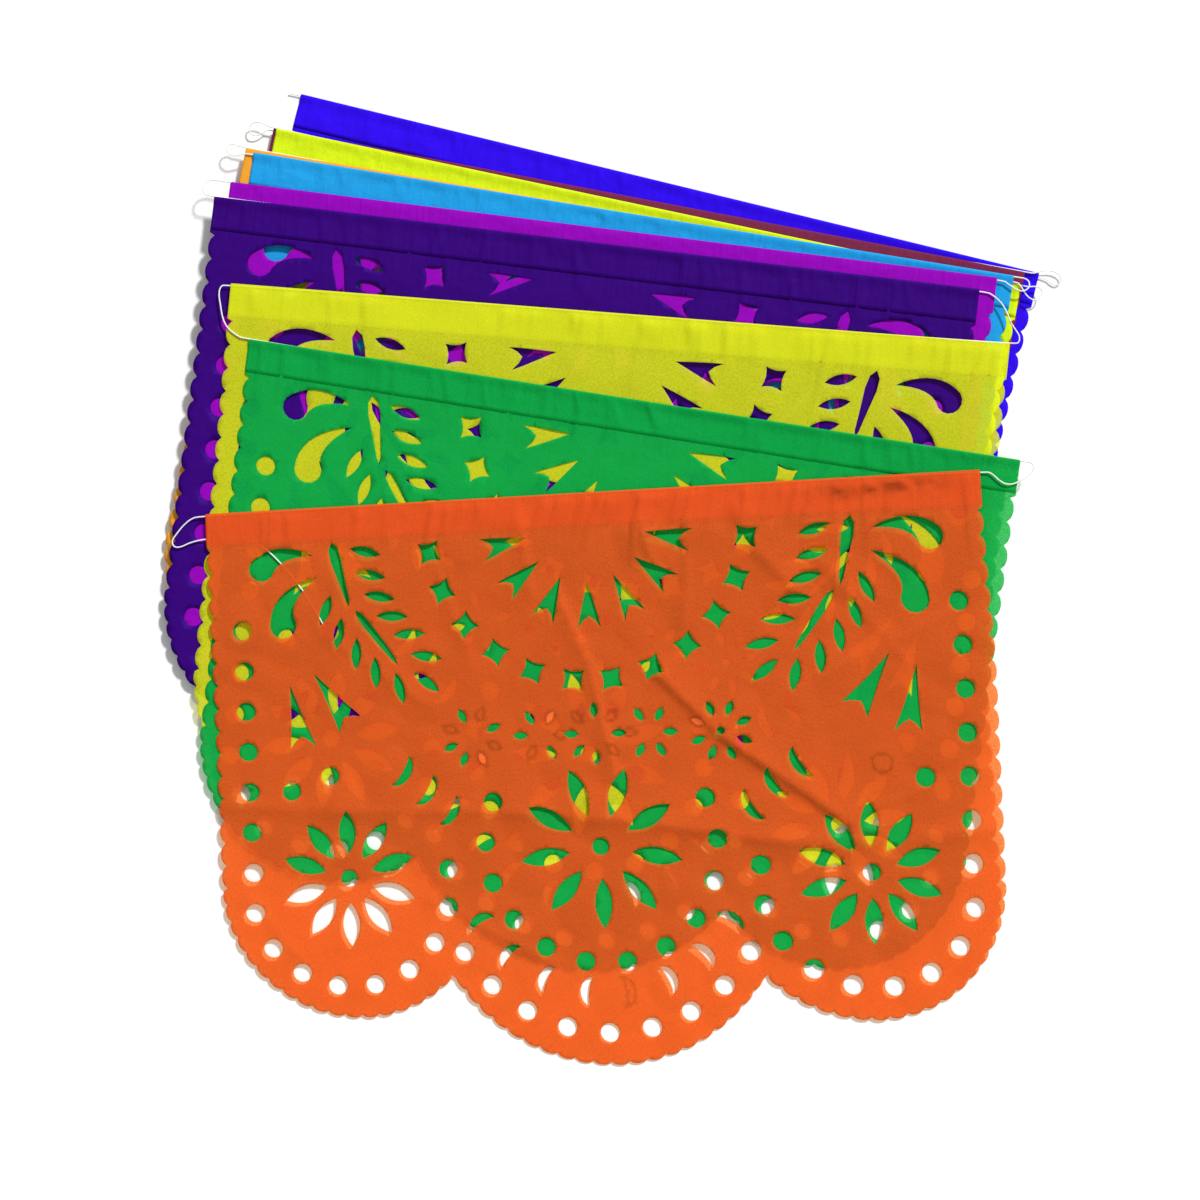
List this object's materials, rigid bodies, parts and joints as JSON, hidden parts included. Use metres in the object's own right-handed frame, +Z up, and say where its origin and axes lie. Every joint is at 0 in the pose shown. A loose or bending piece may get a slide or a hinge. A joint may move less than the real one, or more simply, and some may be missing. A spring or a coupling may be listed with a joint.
{
  "type": "papel picado banner",
  "caption": "Folded-up banner of coloured tissue sheets with lobed scalloped feet and punched flower patterns, hemmed over one string and fanned in a flat pile.",
  "frame": {"origin": "on the floor, under the middle of the lowest sheet's hem", "axes": "+Z up from the floor the pile lies on, +Y from the feet of the sheets towards their hems, +X to the right of someone who stands at the feet"},
  "size_m": [0.5179, 0.5635, 0.0127],
  "materials": {
    "orange_tissue": "thin translucent tissue, matte",
    "green_tissue": "thin translucent tissue, matte",
    "yellow_tissue": "thin translucent tissue, matte",
    "purple_tissue": "thin translucent tissue, matte",
    "magenta_tissue": "thin translucent tissue, matte",
    "blue_tissue": "thin translucent tissue, matte",
    "amber_tissue": "thin translucent tissue, matte",
    "lime_tissue": "thin translucent tissue, matte",
    "maroon_tissue": "thin translucent tissue, matte",
    "ultramarine_tissue": "thin translucent tissue, matte",
    "white_twine": "fine twisted twine"
  },
  "bodies": {
    "root": {"sheet_01_orange": "orange_tissue", "sheet_02_green": "green_tissue", "sheet_03_yellow": "yellow_tissue", "sheet_04_purple": "purple_tissue", "sheet_05_magenta": "magenta_tissue", "sheet_06_blue": "blue_tissue", "sheet_07_amber": "amber_tissue", "sheet_08_lime": "lime_tissue", "sheet_09_maroon": "maroon_tissue", "sheet_10_ultramarine": "ultramarine_tissue", "string": "white_twine"}
  },
  "joints": []
}
